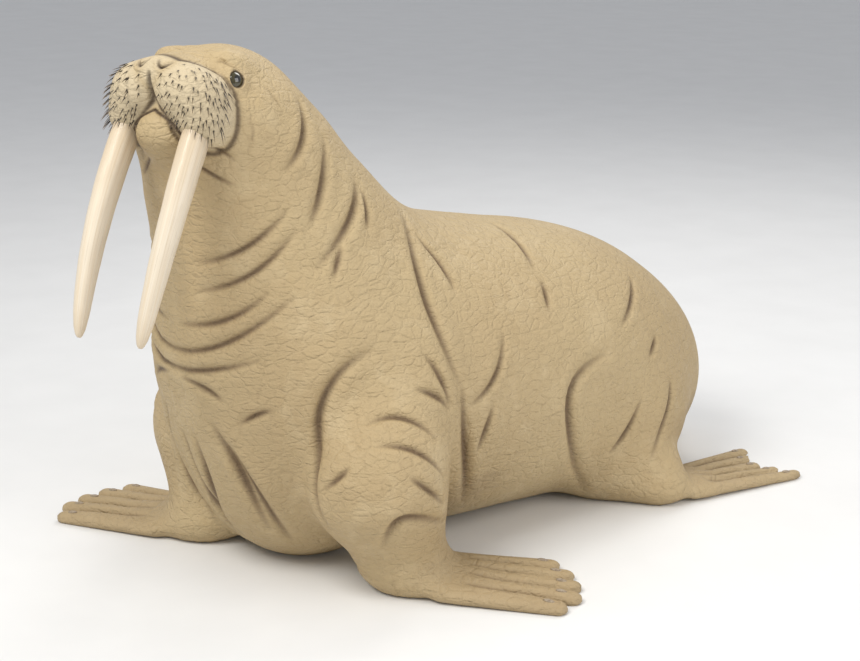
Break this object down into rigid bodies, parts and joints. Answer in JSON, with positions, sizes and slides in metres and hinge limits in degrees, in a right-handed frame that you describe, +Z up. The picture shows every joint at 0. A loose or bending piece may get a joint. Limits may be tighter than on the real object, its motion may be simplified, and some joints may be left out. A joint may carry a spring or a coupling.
{
  "type": "walrus",
  "caption": "adult walrus lying on its belly with neck and head raised, long downward tusks, whiskered muzzle, fore flippers spread and hind flippers stretched back",
  "frame": {"origin": "on the floor below the middle of the animal's bounding box", "axes": "+Z up, the animal faces -Y, its left side is +X"},
  "size_m": [1.5855, 2.4213, 1.5002],
  "materials": {
    "hide": "dry, wrinkled bare hide with a soft sheen",
    "tusk": "polished ivory with fine lengthwise cracks, yellower at the root",
    "eye": "wet, dark olive brown"
  },
  "bodies": {
    "root": {"torso": "hide", "hips": "hide", "neck": "hide", "head": "hide", "muzzle": "hide", "upper_arm_left": "hide", "upper_arm_right": "hide", "fore_flipper_left": "hide", "fore_flipper_right": "hide", "thigh_left": "hide", "thigh_right": "hide", "hind_flipper_left": "hide", "hind_flipper_right": "hide", "tail": "hide", "tusk_left": "tusk", "tusk_right": "tusk", "eye_left": "eye", "eye_right": "eye"}
  },
  "joints": []
}
